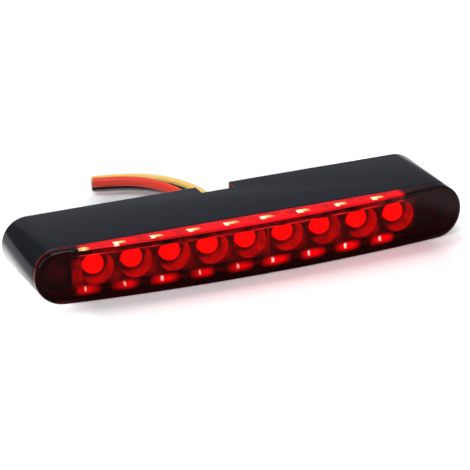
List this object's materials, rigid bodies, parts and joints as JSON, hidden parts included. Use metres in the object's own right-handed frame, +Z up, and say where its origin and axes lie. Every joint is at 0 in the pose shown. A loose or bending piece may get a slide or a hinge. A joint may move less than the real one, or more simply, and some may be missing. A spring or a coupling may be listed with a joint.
{
  "type": "third brake light",
  "caption": "Slim oblong red LED third brake light: black plastic tube housing, bowed clear red lens, reflector, circuit board, rear cover and three short leads.",
  "frame": {"origin": "on the plane of the flat bottom, under the middle of the lamp without its free leads", "axes": "+X along the lamp, to the right when looking at the lens; the lens faces -Y and the leads leave towards +Y; +Z up"},
  "size_m": [0.105, 0.0794, 0.0128],
  "materials": {
    "housing": "satin moulded black ABS",
    "lens": "polished clear red acrylic",
    "sealant": "matt black sealant",
    "reflector": "vacuum-metallised bright plastic",
    "led_epoxy": "clear red epoxy",
    "tinned_metal": "tin plated",
    "board": "green solder mask",
    "chip_body": "matt black moulding",
    "steel": "zinc plated",
    "cover": "fine-grained black ABS",
    "grommet_rubber": "soft matt black rubber",
    "brass": "turned",
    "copper": "bare stranded copper",
    "red_insulation": "smooth red PVC",
    "black_insulation": "smooth black PVC",
    "yellow_insulation": "smooth yellow PVC"
  },
  "bodies": {
    "root": {"housing": "housing", "lens": "lens", "lens_bead": "sealant", "reflector": "reflector", "led_1": "led_epoxy", "led_2": "led_epoxy", "led_3": "led_epoxy", "led_4": "led_epoxy", "led_5": "led_epoxy", "led_6": "led_epoxy", "led_7": "led_epoxy", "led_8": "led_epoxy", "led_9": "led_epoxy", "led_legs": "tinned_metal", "circuit_board": "board", "solder_joints": "tinned_metal", "series_resistors": "chip_body", "polarity_diodes": "chip_body", "board_screws": "steel", "rear_cover": "cover", "rear_cover_seal": "sealant", "grommet": "grommet_rubber", "threaded_insert_left": "brass", "threaded_insert_right": "brass", "lead_conductors": "copper", "red_lead_tail": "red_insulation", "red_lead": "red_insulation", "black_lead_tail": "black_insulation", "black_lead": "black_insulation", "yellow_lead_tail": "yellow_insulation", "yellow_lead": "yellow_insulation"}
  },
  "joints": []
}
